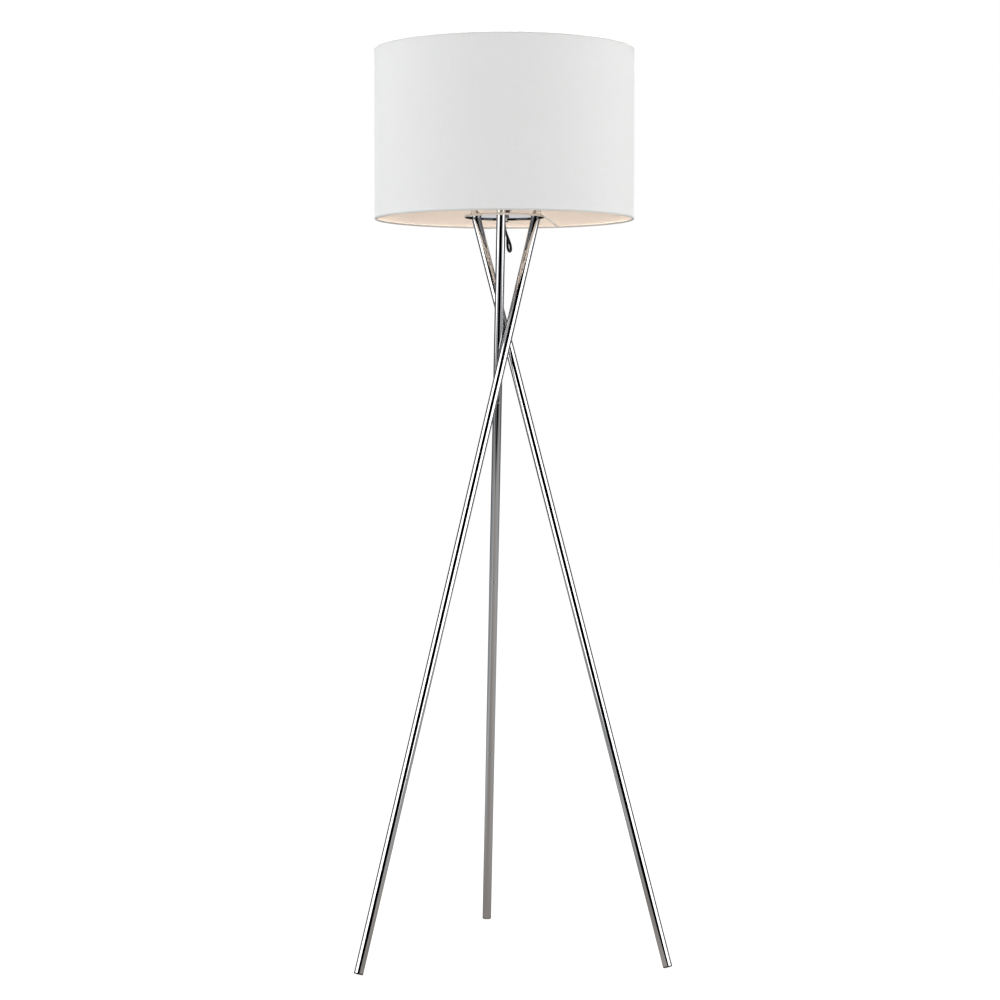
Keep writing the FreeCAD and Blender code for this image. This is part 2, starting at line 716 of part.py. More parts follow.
def bulb_insulator():
    rim = CAP_TIP_R - CAP_SHEET - INSULATOR_GAP
    low = CAP_BOTTOM_Z - INSULATOR_DROP
    high = CAP_BOTTOM_Z + INSULATOR_RISE
    return turned(((0, low), (TIP_R, low), (rim, CAP_BOTTOM_Z), (rim, high), (0, high)))


def bulb_tip():
    low = TIP_Z
    high = CAP_BOTTOM_Z - INSULATOR_DROP
    inset, rise = TIP_BEVEL
    return turned(((0, low), (TIP_R - inset, low), (TIP_R, low + rise), (TIP_R, high), (0, high)))


# ---- build ----------------------------------------------------------------------------------

def build():
    os.makedirs("parts", exist_ok=True)
    legs = [Leg(i) for i in range(len(LEG_NAMES))]
    leg_a = legs[0]
    entry = lead_port(leg_a, leg_a.length - LEAD_ENTRY_DOWN, LEAD_PORT_TURN)
    exit_port = lead_port(leg_a, LEAD_EXIT_UP, 180.0)
    holes = {("a", 1): [port_hole(entry)], ("a", SECTIONS): [port_hole(exit_port)]}
    for leg in legs:
        for number in range(1, SECTIONS + 1):
            section = leg_section(leg, number, holes.get((leg.name, number), []))
            export("leg_%s_section_%d" % (leg.name, number), section)
        export("leg_%s_threaded_studs" % leg.name, leg_studs(leg))
        export("leg_%s_threaded_sockets" % leg.name, leg_sockets(leg))
        export("foot_cap_%s" % leg.name, foot_cap(leg))
    export("leg_top_inserts", Part.makeCompound([leg_top_insert(leg) for leg in legs]))
    export("wedge_spacers", Part.makeCompound([wedge_spacer(leg) for leg in legs]))
    export("leg_bolts", Part.makeCompound([leg_bolt(leg) for leg in legs]))

    export("lead_grommet_top", grommet(leg_a, entry))
    export("lead_grommet_foot", grommet(leg_a, exit_port))
    export("mains_lead_loop", lead_loop(entry))
    export("mains_lead_in_leg", lead_in_leg(leg_a, entry, exit_port))
    export("mains_lead_in_nipple", cylinder(LEAD_DIA, HOLDER_SPLIT_Z - BLOCK_HEIGHT - LEAD_BUSH_Z,
                                            Vector(0, 0, LEAD_BUSH_Z)))

    export("top_plate", top_plate(legs))
    export("nipple", nipple())
    export("nipple_nuts", nipple_nuts())
    export("lead_bush", lead_bush())

    export("lampholder_base", lampholder_base())
    export("terminal_block", terminal_block())
    export("terminal_screws", terminal_screws())
    export("lampholder_body", lampholder_body())
    export("screw_shell", screw_shell())
    export("centre_contact", centre_contact())
    export("switch_spindle", switch_spindle())
    export("switch_knob", switch_knob())
    export("shade_ring_nut", ring_nut())

    hub = fitter_hub()
    bottom_wire = rim_wire(SHADE_BOTTOM_Z + RIM_WIRE_INSET)
    export("shade_hub", hub)
    export("shade_arms", fitter_arms(hub, bottom_wire))
    export("shade_bottom_wire", bottom_wire)
    export("shade_top_wire", rim_wire(SHADE_BOTTOM_Z + SHADE_HEIGHT - RIM_WIRE_INSET))
    export("shade_fabric", shade_wall(LINER_R, SHADE_R, 0.0))
    export("shade_liner", shade_wall(LINER_INNER_R, LINER_R, LINER_INSET))

    export("bulb_glass", bulb_glass())
    export("bulb_cap", bulb_cap())
    export("bulb_insulator", bulb_insulator())
    export("bulb_tip", bulb_tip())


build()
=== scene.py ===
import json
import math

import bmesh
import bpy
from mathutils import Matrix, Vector


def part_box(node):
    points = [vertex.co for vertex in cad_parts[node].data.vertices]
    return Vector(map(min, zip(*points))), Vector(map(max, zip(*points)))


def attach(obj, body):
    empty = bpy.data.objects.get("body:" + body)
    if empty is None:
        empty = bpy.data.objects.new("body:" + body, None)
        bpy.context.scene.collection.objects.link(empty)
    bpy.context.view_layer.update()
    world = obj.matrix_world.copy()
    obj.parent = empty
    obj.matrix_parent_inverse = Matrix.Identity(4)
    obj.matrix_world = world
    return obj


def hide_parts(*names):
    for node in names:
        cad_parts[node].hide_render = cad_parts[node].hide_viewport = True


# A chromed tripod floor lamp with a white fabric drum shade. Metres, in the CAD model's frame:
# the origin is on the floor on the shade's axis, +Z is up and -Y is the front.

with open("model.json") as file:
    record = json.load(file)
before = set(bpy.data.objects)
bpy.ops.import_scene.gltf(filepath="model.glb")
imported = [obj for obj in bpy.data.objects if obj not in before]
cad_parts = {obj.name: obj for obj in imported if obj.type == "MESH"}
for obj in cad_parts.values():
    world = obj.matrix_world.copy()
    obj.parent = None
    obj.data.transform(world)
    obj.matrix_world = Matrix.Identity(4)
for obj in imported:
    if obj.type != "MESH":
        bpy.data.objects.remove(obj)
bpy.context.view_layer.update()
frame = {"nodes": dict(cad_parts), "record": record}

# ---- measures taken from the frame ----------------------------------------------------------

SHADE_LOW, SHADE_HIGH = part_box("shade_fabric")
SHADE_R = 0.2250
SHADE_BOTTOM = SHADE_LOW.z
SHADE_TOP = SHADE_HIGH.z
WIRE_LOW, WIRE_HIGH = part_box("shade_bottom_wire")
WIRE_R = (WIRE_HIGH.z - WIRE_LOW.z) / 2
WIRE_RING_R = WIRE_HIGH.x - WIRE_R
WIRE_Z = (WIRE_LOW.z + WIRE_HIGH.z) / 2
PLATE_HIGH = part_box("top_plate")[1]
PLATE_THICKNESS = 0.0015
LIP_R = PLATE_HIGH.x
UNDERSIDE = PLATE_HIGH.z - PLATE_THICKNESS

# ---- design values of the soft parts --------------------------------------------------------

# The cloth, and the lap at the back where its end covers its start.
CLOTH = 0.00050
LAP = 0.012
LAP_RISE = 0.00062
LAP_RAMP = 0.006
LAP_ANGLE = math.radians(97.0)
DRUM_STEPS = 288
WALL_ROWS = 24
THREAD_ACROSS = 0.00055
THREAD_ALONG = 0.00050

# The hem rolled round each rim wire: its clearance, the degrees it turns, how far it stands
# proud of the wall, and how the wall meets it (shares of ROLL_EASE and of ROLL_PROUD).
ROLL_GAP = 0.00012
ROLL_TURN = 205.0
ROLL_STEPS = 14
ROLL_PROUD = 0.00035
ROLL_EASE = 0.0030
ROLL_SHOULDER = ((0.35, 0.15), (0.7, 0.8))

# The cloth is painted darker along the rims as painted shade, and warmer on the tucked side as
# painted warm light from the liner.
RIM_SHADE_ZONE = 0.0042
RIM_SHADE_TONE = 0.84
TUCK_WARM_LIGHT = (1.0, 0.93, 0.86)
TUCK_R = WIRE_RING_R - 0.0004

# The loop of lead: the route's points are its spline's control points.
LEAD_DIAMETER = 0.0044
LEAD_ROUND = 8
LEAD_SMOOTH = 12
LEAD_ROUTE = (
    (0.0, 0.0, 1.2750),
    (0.0, 0.0030, 1.2675),
    (0.0025, 0.0065, 1.2575),
    (0.0065, 0.0090, 1.2470),
    (0.0105, 0.0080, 1.2365),
    (0.0115, 0.0030, 1.2275),
    (0.0100, -0.0045, 1.2235),
    (0.0075, -0.0125, 1.2240),
    (0.0055, -0.0190, 1.2295),
    (0.0050, -0.0215, 1.2370),
    (0.0055, -0.0235, 1.2445),
    (0.0045, -0.0285, 1.2505),
    (0.0018, -0.0350, 1.2534),
    (-0.0019, -0.0419, 1.2515),
)

# ---- chrome values --------------------------------------------------------------------------

LEG_TINT = (0.60, 0.605, 0.61)
LEG_HAZE = 0.05
PLATE_TINT = (0.64, 0.645, 0.65)
PLATE_HAZE = 0.06
# The spacers' warm tint paints in the reflection of the shade's cream liner.
SPACER_PAINTED_REFLECTION_TINT = (0.66, 0.63, 0.57)
SPACER_HAZE = 1.3
LEAST_ROUGH = 0.02

# The lip's inner face is painted dark and dull. It is a little inside the rim and under the
# plate.
LIP_MARGIN = 0.00025
DARK_LIP_MARGIN = 0.0001
DARK_LIP_COLOUR = (0.03, 0.03, 0.032, 1.0)
DARK_LIP_ROUGH = 0.5

# ---- camera, floor and light values ---------------------------------------------------------

CAMERA_PLACE = (-0.00765, -4.4981, 0.9544)
CAMERA_LENS = 93.10
CAMERA_SENSOR = 36.0
CAMERA_DOWN = 0.0359

# The floor that the eye sees: its glow is a little lower near the lamp, between two distances.
FLOOR_Z = -0.0005
FLOOR_REACH = 9.0
FLOOR_GLOW = 1.0
FLOOR_NEAR_GLOW = 0.90
FLOOR_NEAR = (0.5, 1.8)
FLOOR_COLOUR = 0.16

# The greyer patch of floor that only light and gloss see, in bands from left to right.
PATCH_FRONT = -1.40
PATCH_FADE = 0.35
PATCH_SIDE = 3.0
PATCH_BACK = 3.5
PATCH_GLOW = 0.55
PATCH_BANDS = (
    (-3.0, (0.75, 0.76, 0.78)),
    (-1.3, (0.72, 0.73, 0.75)),
    (-0.75, (1.15, 1.15, 1.15)),
    (-0.45, (0.85, 0.84, 0.83)),
    (-0.1, (0.66, 0.60, 0.56)),
    (0.2, (0.86, 0.80, 0.76)),
    (0.9, (1.0, 0.97, 0.94)),
    (3.0, (0.8, 0.8, 0.8)),
)

# Soft boxes, one on each side at the front. Angles are in degrees from the front, round the
# vertical. Gloss sees a box only below BOX_SPLIT.
BOX_ANGLE = 60.5
BOX_DISTANCE = 2.8
BOX_WIDTH = 2.66
BOX_LOW = 0.15
BOX_SPLIT = 2.42
BOX_HIGH = 2.9
BOX_POWER = 55.0

# Fills at the back and a light above, which gloss doesn't see.
FILL_ANGLE = 168.0
FILL_DISTANCE = 2.4
FILL_Z = 1.5
FILL_AIM = (0.0, 0.0, 1.1)
FILL_SIZE = (1.0, 1.4)
FILL_POWER = 8.0
TOP_PLACE = (0.0, 0.25, 3.4)
TOP_AIM = (0.0, 0.0, 1.3)
TOP_SIZE = (1.2, 1.2)
TOP_POWER = 126.0

# What the studio's walls show to gloss: degrees from the front, and brightness.
WALLS = (
    (0.0, 0.0),
    (34.5, 0.0),
    (35.5, 0.80),
    (60.0, 0.62),
    (85.0, 0.52),
    (87.0, 0.16),
    (155.0, 0.16),
    (158.0, 1.0),
    (180.0, 1.0),
)
WALL_TINT = (0.97, 0.97, 1.0)
WALL_LIGHT = 0.345


# ---- material helpers -----------------------------------------------------------------------

class Nodes:
    """A material's node tree with short calls to add and link nodes."""

    def __init__(self, name):
        self.material = bpy.data.materials.new(name)
        self.material.use_nodes = True
        self.tree = self.material.node_tree
        self.shader = self.tree.nodes["Principled BSDF"]

    def add(self, kind, **settings):
        node = self.tree.nodes.new(kind)
        for key, value in settings.items():
            setattr(node, key, value)
        return node

    def link(self, source, target):
        self.tree.links.new(source, target)

    def set(self, **values):
        for key, value in values.items():
            self.shader.inputs[key.replace("_", " ")].default_value = value

    def number(self, operation, first, second=0.0):
        """A Math node. Each operand is a socket or a number."""
        node = self.add("ShaderNodeMath", operation=operation)
        for socket, value in zip(node.inputs, (first, second)):
            if isinstance(value, (int, float)):
                socket.default_value = value
            else:
                self.link(value, socket)
        return node.outputs[0]

    def noise(self, scale, detail=2.0, vector=None, roughness=0.5):
        node = self.add("ShaderNodeTexNoise")
        node.inputs["Scale"].default_value = scale
        node.inputs["Detail"].default_value = detail
        node.inputs["Roughness"].default_value = roughness
        self.link(vector or self.place(), node.inputs["Vector"])
        return node.outputs["Fac"]

    def place(self):
        return self.add("ShaderNodeTexCoord").outputs["Object"]

    def from_axis(self):
        """The place's parts, and its distance from the lamp's axis."""
        parts = self.add("ShaderNodeSeparateXYZ")
        self.link(self.place(), parts.inputs[0])
        flat = self.add("ShaderNodeCombineXYZ")
        self.link(parts.outputs["X"], flat.inputs["X"])
        self.link(parts.outputs["Y"], flat.inputs["Y"])
        radius = self.add("ShaderNodeVectorMath", operation="LENGTH")
        self.link(flat.outputs[0], radius.inputs[0])
        return parts, radius.outputs["Value"]

    def stretched(self, x, y, z, vector=None):
        node = self.add("ShaderNodeMapping")
        node.inputs["Scale"].default_value = (x, y, z)
        self.link(vector or self.place(), node.inputs["Vector"])
        return node.outputs["Vector"]

    def ramp(self, factor, low, high, low_colour, high_colour):
        node = self.add("ShaderNodeValToRGB")
        node.color_ramp.elements[0].position = low
        node.color_ramp.elements[1].position = high
        node.color_ramp.elements[0].color = (*low_colour, 1.0)
        node.color_ramp.elements[1].color = (*high_colour, 1.0)
        self.link(factor, node.inputs["Fac"])
        return node.outputs["Color"]

    def spread(self, factor, low, high):
        """Maps 0..1 to low..high."""
        node = self.add("ShaderNodeMapRange")
        node.inputs["To Min"].default_value = low
        node.inputs["To Max"].default_value = high
        self.link(factor, node.inputs["Value"])
        return node.outputs["Result"]

    def bump(self, height, strength, distance, under=None):
        node = self.add("ShaderNodeBump")
        node.inputs["Strength"].default_value = strength
        node.inputs["Distance"].default_value = distance
        self.link(height, node.inputs["Height"])
        if under is not None:
            self.link(under, node.inputs["Normal"])
        return node.outputs["Normal"]


# ---- materials ------------------------------------------------------------------------------

def chrome(name, tint, haze, dark_lip_below=None):
    """Polished plating: faint haze and wipe marks, so that its gloss isn't quite even.

    The last argument is the height below which, inside the plate's lip, the metal is painted
    dark and dull.
    """
    n = Nodes(name)
    n.set(Metallic=1.0, Specular_Tint=(0.6, 0.6, 0.62, 1.0))
    wipe = n.noise(26.0, 3.0, n.stretched(1.0, 1.0, 0.12))
    fine = n.noise(900.0, 2.0, n.stretched(1.0, 1.0, 0.05))
    colour = n.ramp(wipe, 0.3, 0.75, tuple(0.94 * c for c in tint), tint)
    marks = n.number("MULTIPLY", wipe, fine)
    rough = n.spread(marks, LEAST_ROUGH, LEAST_ROUGH + haze)
    # Inside the lip and below that height the colour is painted dark and the surface made dull.
    if dark_lip_below is not None:
        parts, radius = n.from_axis()
        inside = n.number("LESS_THAN", radius, LIP_R - LIP_MARGIN)
        below = n.number("LESS_THAN", parts.outputs["Z"], dark_lip_below)
        zone = n.number("MULTIPLY", inside, below)
        mixed = n.add("ShaderNodeMix", data_type="RGBA")
        n.link(zone, mixed.inputs["Factor"])
        n.link(colour, mixed.inputs["A"])
        mixed.inputs["B"].default_value = DARK_LIP_COLOUR
        colour = mixed.outputs["Result"]
        rough = n.number("ADD", rough, n.number("MULTIPLY", zone, DARK_LIP_ROUGH))
    n.link(colour, n.shader.inputs["Base Color"])
    n.link(rough, n.shader.inputs["Roughness"])
    n.link(n.bump(fine, 0.03, 0.0002), n.shader.inputs["Normal"])
    return n.material


def plated_steel(name):
    """Zinc-plated steel: dull grey, with a fine grain and cloudy patches."""
    n = Nodes(name)
    n.set(Metallic=1.0)
    grain = n.noise(700.0, 3.0)
    patch = n.noise(60.0, 2.0)
    colour = n.ramp(patch, 0.3, 0.7, (0.50, 0.51, 0.53), (0.66, 0.67, 0.67))
    n.link(colour, n.shader.inputs["Base Color"])
    n.link(n.spread(grain, 0.22, 0.42), n.shader.inputs["Roughness"])
    n.link(n.bump(grain, 0.12, 0.0002), n.shader.inputs["Normal"])
    return n.material


def brass(name):
    """Bare brass with a light tarnish."""
    n = Nodes(name)
    n.set(Metallic=1.0)
    grain = n.noise(420.0, 3.0)
    tarnish = n.noise(90.0, 4.0)
    colour = n.ramp(tarnish, 0.35, 0.7, (0.62, 0.43, 0.17), (0.80, 0.60, 0.27))
    n.link(colour, n.shader.inputs["Base Color"])
    n.link(n.spread(grain, 0.18, 0.36), n.shader.inputs["Roughness"])
    n.link(n.bump(grain, 0.1, 0.0002), n.shader.inputs["Normal"])
    return n.material


def aluminium(name):
    """Drawn aluminium: a grain round the cap."""
    n = Nodes(name)
    n.set(Metallic=1.0)
    grain = n.noise(500.0, 3.0, n.stretched(1.0, 1.0, 6.0))
    colour = n.ramp(grain, 0.3, 0.7, (0.66, 0.66, 0.65), (0.80, 0.80, 0.79))
    n.link(colour, n.shader.inputs["Base Color"])
    n.link(n.spread(grain, 0.22, 0.38), n.shader.inputs["Roughness"])
    n.link(n.bump(grain, 0.1, 0.0002), n.shader.inputs["Normal"])
    return n.material


def moulded(name, dark, light, rough, grain_scale=1300.0):
    """Moulded plastic or rubber: fine spark-eroded grain and slight unevenness in gloss."""
    n = Nodes(name)
    grain = n.noise(grain_scale, 2.0)
    cloud = n.noise(70.0, 3.0)
    n.link(n.ramp(cloud, 0.3, 0.7, dark, light), n.shader.inputs["Base Color"])
    n.link(n.spread(cloud, rough - 0.06, rough + 0.08), n.shader.inputs["Roughness"])
    n.link(n.bump(grain, 0.25, 0.0002), n.shader.inputs["Normal"])
    return n.material


def phenolic(name):
    """Brown-black phenolic: glossy, with a faint mottle."""
    n = Nodes(name)
    n.set(Coat_Weight=0.25, Coat_Roughness=0.12)
    mottle = n.noise(240.0, 4.0)
    colour = n.ramp(mottle, 0.35, 0.7, (0.016, 0.013, 0.011), (0.045, 0.036, 0.030))
    n.link(colour, n.shader.inputs["Base Color"])
    n.link(n.spread(mottle, 0.26, 0.40), n.shader.inputs["Roughness"])
    n.link(n.bump(mottle, 0.08, 0.0002), n.shader.inputs["Normal"])
    return n.material


def glazed(name, dark, light):
    """Glazed ceramic or black glass, with fine specks under the gloss."""
    n = Nodes(name)
    n.set(Coat_Weight=0.5, Coat_Roughness=0.06)
    speck = n.noise(520.0, 3.0)
    n.link(n.ramp(speck, 0.3, 0.62, dark, light), n.shader.inputs["Base Color"])
    n.link(n.spread(speck, 0.2, 0.34), n.shader.inputs["Roughness"])
    n.link(n.bump(speck, 0.06, 0.0002), n.shader.inputs["Normal"])
    return n.material


def white_paint(name):
    """Powder coat with a light orange peel."""
    n = Nodes(name)
    peel = n.noise(650.0, 2.0)
    cloud = n.noise(40.0, 2.0)
    colour = n.ramp(cloud, 0.3, 0.7, (0.76, 0.73, 0.67), (0.84, 0.80, 0.73))
    n.link(colour, n.shader.inputs["Base Color"])
    n.link(n.spread(peel, 0.34, 0.46), n.shader.inputs["Roughness"])
    n.link(n.bump(peel, 0.2, 0.0003), n.shader.inputs["Normal"])
    return n.material


def frosted_glass(name):
    """White-coated glass that lets a little light through."""
    n = Nodes(name)
    n.set(Transmission_Weight=0.35, IOR=1.45, Coat_Weight=0.4, Coat_Roughness=0.08)
    cloud = n.noise(120.0, 3.0)
    colour = n.ramp(cloud, 0.3, 0.7, (0.90, 0.90, 0.87), (0.96, 0.96, 0.94))
    n.link(colour, n.shader.inputs["Base Color"])
    n.link(n.spread(cloud, 0.38, 0.5), n.shader.inputs["Roughness"])
    return n.material


def threads(n, uv, across, along):
    """Height of a plain weave: two sets of rounded threads that pass over each other."""
    parts = n.add("ShaderNodeSeparateXYZ")
    n.link(uv, parts.inputs[0])
    u = n.number("MULTIPLY", parts.outputs["X"], math.pi / across)
    v = n.number("MULTIPLY", parts.outputs["Y"], math.pi / along)
    warp = n.number("ABSOLUTE", n.number("SINE", u))
    weft = n.number("ABSOLUTE", n.number("SINE", v))
    swap = n.number("MULTIPLY", n.number("SINE", u), n.number("SINE", v))
    over = n.number("GREATER_THAN", swap, 0.0)
    warp_part = n.number("MULTIPLY", warp, over)
    weft_part = n.number("MULTIPLY", weft, n.number("SUBTRACT", 1.0, over))
    return n.number("ADD", warp_part, weft_part)


def shade_cloth(name):
    """Off-white plain weave on film: fine threads, slubs, a soft sheen, painted shade along the
    rims and painted warm light on the tucked side.
    """
    n = Nodes(name)
    n.set(Sheen_Weight=0.18, Sheen_Roughness=0.45, Specular_IOR_Level=0.25)
    uv = n.add("ShaderNodeUVMap", uv_map="metres").outputs["UV"]
    weave = threads(n, uv, THREAD_ACROSS, THREAD_ALONG)
    slub = n.noise(1.0, 3.0, n.stretched(28.0, 900.0, 1.0, uv))
    thick = n.noise(1.0, 3.0, n.stretched(900.0, 22.0, 1.0, uv))
    mixed = n.number("MULTIPLY", n.number("ADD", slub, thick), 0.5)
    shade = n.number("ADD", n.number("MULTIPLY", weave, 0.25), n.number("MULTIPLY", mixed, 0.75))
    colour = n.ramp(shade, 0.30, 0.70, (0.800, 0.810, 0.800), (0.850, 0.860, 0.852))
    parts, radius = n.from_axis()
    middle = (SHADE_TOP + SHADE_BOTTOM) / 2
    half = (SHADE_TOP - SHADE_BOTTOM) / 2
    from_middle = n.number("ABSOLUTE", n.number("SUBTRACT", parts.outputs["Z"], middle))
    # Painted shade: the cloth's colour is darkened towards each rim.
    rim = n.add("ShaderNodeMapRange", interpolation_type="SMOOTHSTEP")
    rim.inputs["From Min"].default_value = half - RIM_SHADE_ZONE
    rim.inputs["From Max"].default_value = half - RIM_SHADE_ZONE * 0.6
    rim.inputs["To Min"].default_value = 1.0
    rim.inputs["To Max"].default_value = RIM_SHADE_TONE
    n.link(from_middle, rim.inputs["Value"])
    # Painted light: inside the rim wires the cloth is tinted warm, standing in for light bounced
    # from the liner.
    tucked = n.number("LESS_THAN", radius, TUCK_R)
    tinted = n.add("ShaderNodeVectorMath", operation="MULTIPLY")
    n.link(colour, tinted.inputs[0])
    n.link(n.ramp(tucked, 0.0, 1.0, (1.0, 1.0, 1.0), TUCK_WARM_LIGHT), tinted.inputs[1])
    toned = n.add("ShaderNodeVectorMath", operation="SCALE")
    n.link(tinted.outputs["Vector"], toned.inputs[0])
    n.link(rim.outputs["Result"], toned.inputs["Scale"])
    n.link(toned.outputs["Vector"], n.shader.inputs["Base Color"])
    n.link(n.spread(mixed, 0.78, 0.94), n.shader.inputs["Roughness"])
    slubs = n.bump(mixed, 0.12, 0.0004)
    n.link(n.bump(weave, 0.35, 0.00015, slubs), n.shader.inputs["Normal"])
    return n.material


def liner_film(name):
    """Cream styrene film inside the shade: matt, with a faint rolling grain."""
    n = Nodes(name)
    n.set(Specular_IOR_Level=0.3)
    cloud = n.noise(9.0, 3.0)
    grain = n.noise(1500.0, 2.0)
    colour = n.ramp(cloud, 0.3, 0.7, (0.83, 0.735, 0.645), (0.87, 0.775, 0.69))
    n.link(colour, n.shader.inputs["Base Color"])
    n.link(n.spread(cloud, 0.55, 0.68), n.shader.inputs["Roughness"])
    n.link(n.bump(grain, 0.15, 0.0001), n.shader.inputs["Normal"])
    return n.material


def lead_sheath(name):
    """Black PVC flex: satin, with the faint waves of the cores under the sheath."""
    n = Nodes(name)
    n.set(Specular_IOR_Level=0.12)
    wave = n.noise(180.0, 2.0)
    grain = n.noise(1600.0, 2.0)
    colour = n.ramp(wave, 0.3, 0.7, (0.0025, 0.0025, 0.003), (0.006, 0.006, 0.0065))
    n.link(colour, n.shader.inputs["Base Color"])
    n.link(n.spread(wave, 0.32, 0.46), n.shader.inputs["Roughness"])
    n.link(n.bump(grain, 0.15, 0.0002, n.bump(wave, 0.2, 0.0004)), n.shader.inputs["Normal"])
    return n.material


# ---- mesh helpers ---------------------------------------------------------------------------

def mesh_object(name, builder):
    mesh = bpy.data.meshes.new(name)
    mesh.from_pydata([], [], [])
    builder.normal_update()
    builder.to_mesh(mesh)
    builder.free()
    obj = bpy.data.objects.new(name, mesh)
    bpy.context.scene.collection.objects.link(obj)
    return obj


def arc(centre, radius, start, end, steps):
    """Points of an arc in the (radius, height) plane, angles in degrees from outwards."""
    points = []
    for i in range(steps + 1):
        turn = math.radians(start + (end - start) * i / steps)
        points.append((centre[0] + radius * math.cos(turn), centre[1] + radius * math.sin(turn)))
    return points


# ---- shade cloth ----------------------------------------------------------------------------

def hem_points(wire_z, side):
    """The cloth's middle line from the drum's wall round a rim wire to its tucked edge.

    side is -1 at the bottom rim and +1 at the top rim.
    """
    middle_r = SHADE_R - CLOTH / 2
    inside_r = WIRE_RING_R - WIRE_R - ROLL_GAP - CLOTH / 2
    roll = (middle_r - inside_r) / 2
    turn = arc((middle_r - roll, wire_z), roll, 0.0, ROLL_TURN, ROLL_STEPS)
    return [(r, wire_z + side * (z - wire_z)) for r, z in turn]


def cloth_line():
    """Middle line of the strip, from the tuck inside the bottom rim to that inside the top."""
    top_z = SHADE_TOP + SHADE_BOTTOM - WIRE_Z
    bottom = list(reversed(hem_points(WIRE_Z, -1)))
    top = hem_points(top_z, 1)
    wall = []
    low = WIRE_Z + ROLL_EASE
    high = top_z - ROLL_EASE
    for i in range(WALL_ROWS + 1):
        wall.append((SHADE_R - CLOTH / 2 - ROLL_PROUD, low + (high - low) * i / WALL_ROWS))
    for share, sunk in ROLL_SHOULDER:
        sunk_r = SHADE_R - CLOTH / 2 - ROLL_PROUD * sunk
        wall += [(sunk_r, WIRE_Z + ROLL_EASE * share), (sunk_r, top_z - ROLL_EASE * share)]
    wall.sort(key=lambda point: point[1])
    return bottom + wall + top


def offset_line(line, distance):
    """The line moved to its right-hand side, which is outwards on the drum's wall."""
    moved = []
    for i, point in enumerate(line):
        before = Vector(line[max(i - 1, 0)])
        after = Vector(line[min(i + 1, len(line) - 1)])
        way = (after - before).normalized()
        moved.append((point[0] + way.y * distance, point[1] - way.x * distance))
    return moved


def line_length(line):
    return sum((Vector(b) - Vector(a)).length for a, b in zip(line, line[1:]))


def lap_rise(travel, whole):
    """How far the cloth is lifted where its end laps over its start."""
    ramp = (travel - (whole - LAP_RAMP)) / LAP_RAMP
    ramp = min(max(ramp, 0.0), 1.0)
    return LAP_RISE * ramp * ramp * (3.0 - 2.0 * ramp)


def shade_drum():
    """One strip of cloth round the drum, with a lap at the back and rolled hems."""
    middle = cloth_line()
    whole = 2 * math.pi * SHADE_R
    travels = [whole * i / DRUM_STEPS for i in range(DRUM_STEPS)]
    travels += [whole - LAP_RAMP * 0.5, whole, whole + LAP * 0.5, whole + LAP]
    travels = sorted(set(travels))
    builder = bmesh.new()
    uv = builder.loops.layers.uv.new("metres")
    heights = [0.0]
    for a, b in zip(middle, middle[1:]):
        heights.append(heights[-1] + (Vector(b) - Vector(a)).length)
    rings = []
    for travel in travels:
        rise = lap_rise(travel, whole)
        outer = offset_line(middle, rise + CLOTH / 2)
        inner = offset_line(middle, rise - CLOTH / 2)
        turn = LAP_ANGLE + travel / SHADE_R
        ring = []
        for r, z in outer + list(reversed(inner)):
            ring.append(builder.verts.new((r * math.cos(turn), r * math.sin(turn), z)))
        rings.append(ring)
    count = len(rings[0])
    across = heights + list(reversed(heights))
    for i in range(len(rings) - 1):
        for j in range(count):
            k = (j + 1) % count
            corners = ((rings[i][j], i, j), (rings[i + 1][j], i + 1, j),
                       (rings[i + 1][k], i + 1, k), (rings[i][k], i, k))
            face = builder.faces.new([c[0] for c in corners])
            face.smooth = True
            for loop, (_, column, row) in zip(face.loops, corners):
                loop[uv].uv = (travels[column], across[row])
    half = count // 2
    for ring, flip in ((rings[0], True), (rings[-1], False)):
        for j in range(half - 1):
            quad = [ring[j], ring[j + 1], ring[count - 2 - j], ring[count - 1 - j]]
            builder.faces.new(quad[::-1] if flip else quad)
    bmesh.ops.recalc_face_normals(builder, faces=builder.faces)
    return mesh_object("shade_cloth", builder), whole + LAP, line_length(middle)


# ---- lead -----------------------------------------------------------------------------------

def lead_loop():
    curve = bpy.data.curves.new("lead_loop", "CURVE")
    curve.dimensions = "3D"
    curve.bevel_depth = LEAD_DIAMETER / 2
    curve.bevel_resolution = LEAD_ROUND
    curve.use_fill_caps = True
    spline = curve.splines.new("NURBS")
    spline.points.add(len(LEAD_ROUTE) - 1)
    for point, place in zip(spline.points, LEAD_ROUTE):
        point.co = (*place, 1.0)
    spline.order_u = 3
    spline.use_endpoint_u = True
    spline.resolution_u = LEAD_SMOOTH
    obj = bpy.data.objects.new("lead_loop", curve)
    bpy.context.scene.collection.objects.link(obj)
    return obj


# ---- finishes of the CAD nodes --------------------------------------------------------------

def paint(node, material):
    obj = frame["nodes"][node]
    obj.data.materials.clear()
    obj.data.materials.append(material)


